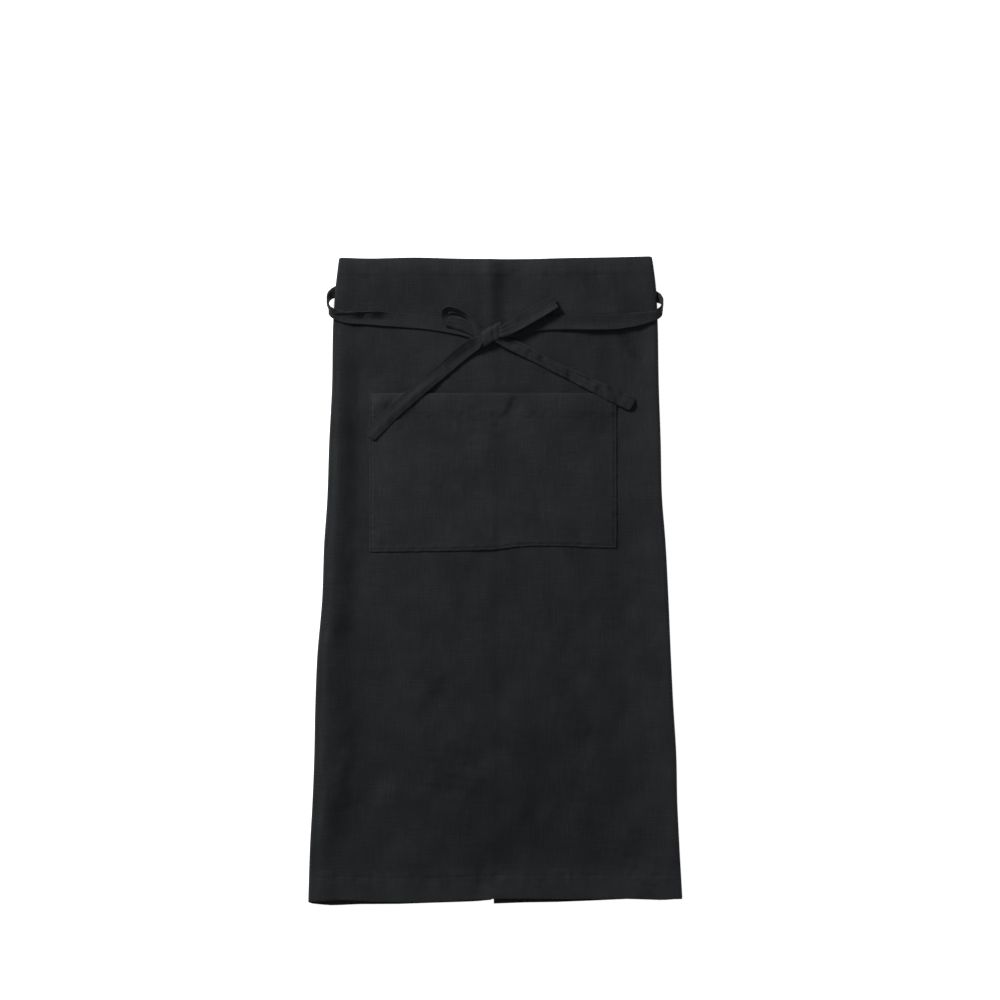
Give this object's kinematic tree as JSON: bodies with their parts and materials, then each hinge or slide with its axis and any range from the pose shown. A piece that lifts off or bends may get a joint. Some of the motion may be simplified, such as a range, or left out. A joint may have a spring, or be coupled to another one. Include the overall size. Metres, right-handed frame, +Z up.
{
  "type": "waist apron",
  "caption": "Long linen half apron laid flat, sides folded to the back, wide front patch pocket, narrow ties brought round and fastened in a front bow.",
  "frame": {"origin": "middle of the laid apron's length and width, on the surface that it lies on", "axes": "+X across the apron to the right seen from its front, +Y up its length to the waist edge, +Z up from the surface, out of its front"},
  "size_m": [0.449, 0.7778, 0.0247],
  "materials": {
    "linen": "matt slubby plain weave, washed",
    "pocket_linen": "matt slubby plain weave, washed",
    "tie_linen": "matt plain weave, folded and edge stitched"
  },
  "bodies": {
    "root": {"apron_panel": "linen", "pocket": "pocket_linen", "tie_run_left": "tie_linen", "tie_run_right": "tie_linen", "bow_loop_left": "tie_linen", "bow_loop_right": "tie_linen", "tie_tail_left": "tie_linen", "tie_tail_right": "tie_linen", "bow_knot": "tie_linen"}
  },
  "joints": []
}
